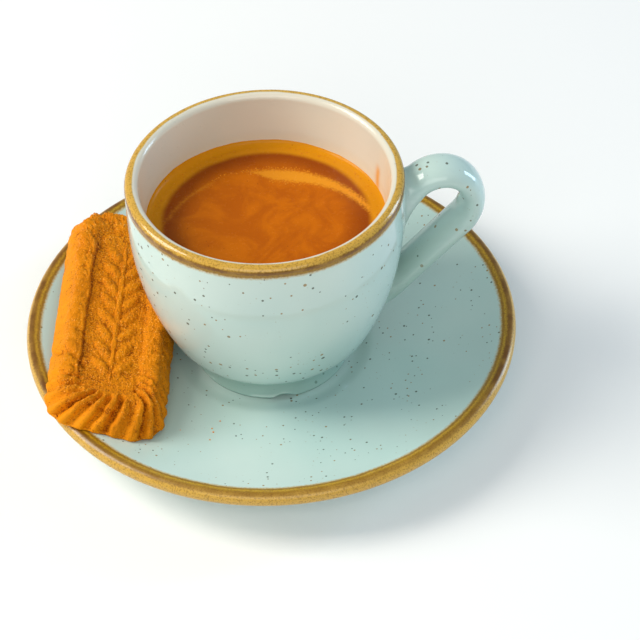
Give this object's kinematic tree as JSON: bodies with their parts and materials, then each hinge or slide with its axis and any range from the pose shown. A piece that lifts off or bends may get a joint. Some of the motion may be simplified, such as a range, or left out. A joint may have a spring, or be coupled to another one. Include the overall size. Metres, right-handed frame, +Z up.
{
  "type": "espresso shot in cup and saucer",
  "caption": "Espresso in a speckled pale blue-green stoneware cup with a loop handle, on its saucer with a crimped caramel biscuit laid beside it.",
  "frame": {"origin": "on the table, under the middle of the saucer", "axes": "+Z up, +X from the cup's middle out along its handle"},
  "size_m": [0.118, 0.118, 0.0591],
  "materials": {
    "saucer_glaze": "gloss",
    "cup_glaze": "gloss",
    "espresso": "satin",
    "biscuit": "matte"
  },
  "bodies": {
    "root": {"saucer": "saucer_glaze", "cup": "cup_glaze", "espresso": "espresso", "biscuit": "biscuit"}
  },
  "joints": []
}
